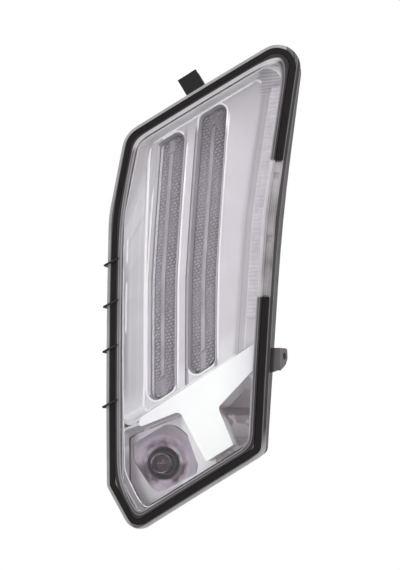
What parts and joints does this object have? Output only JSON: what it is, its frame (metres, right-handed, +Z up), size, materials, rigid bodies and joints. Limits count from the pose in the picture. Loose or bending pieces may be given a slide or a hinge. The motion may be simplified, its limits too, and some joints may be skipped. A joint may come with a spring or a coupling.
{
  "type": "daytime running light",
  "caption": "Tall clear-lensed car bumper lamp: pebbled light windows in a silver bezel above a bulb chamber, with a black rim gasket and a dark housing that has a screw ear and a top tongue.",
  "frame": {"origin": "middle of the bore in the side ear, where one screw fixes the lamp", "axes": "+X to the right and +Z up, seen from in front of the lamp; +Y back into the bumper, away from the viewer"},
  "size_m": [0.1188, 0.0825, 0.2917],
  "materials": {
    "housing_black": "fine-grained black moulding",
    "clear_lens": "clear, hard-coated",
    "rubber_black": "soft matt black",
    "seal_grey": "matt sealing compound",
    "clip_black": "black coated wire",
    "bezel_silver": "satin silver metallised",
    "trim_white": "bright silver-white metallised",
    "pebbled_lens": "pebbled, grey-violet",
    "carrier_white": "plain white moulding",
    "board_green": "solder resist",
    "led_yellow": "phosphor under clear resin",
    "sink_aluminium": "cast, unpolished",
    "screw_steel": "zinc-plated",
    "header_cream": "plain",
    "parts_black": "moulded epoxy",
    "pin_brass": "tinned brass",
    "reflector_grey": "metallised",
    "bulb_clear": "clear",
    "filament_steel": "dull wire",
    "base_cream": "plain",
    "holder_black": "plain black moulding",
    "seal_red": "matt red-brown",
    "vent_black": "matt black"
  },
  "bodies": {
    "root": {"housing": "housing_black", "outer_lens": "clear_lens", "rim_gasket": "rubber_black", "lens_seal": "seal_grey", "rim_clips": "clip_black", "bezel": "bezel_silver", "side_strip": "bezel_silver", "lower_trim": "trim_white", "left_light_lens": "pebbled_lens", "right_light_lens": "pebbled_lens", "light_carrier": "carrier_white", "led_board": "board_green", "leds": "led_yellow", "heat_sink": "sink_aluminium", "board_screws": "screw_steel", "board_header": "header_cream", "driver_board": "board_green", "driver_parts": "parts_black", "driver_screws": "screw_steel", "carrier_screws": "screw_steel", "connector_pins": "pin_brass", "bulb_reflector": "reflector_grey", "corner_reflector": "reflector_grey", "bulb_glass": "bulb_clear", "bulb_filament": "filament_steel", "bulb_base": "base_cream", "bulb_holder": "holder_black", "holder_seal": "seal_red", "vent_cap": "vent_black"}
  },
  "joints": []
}
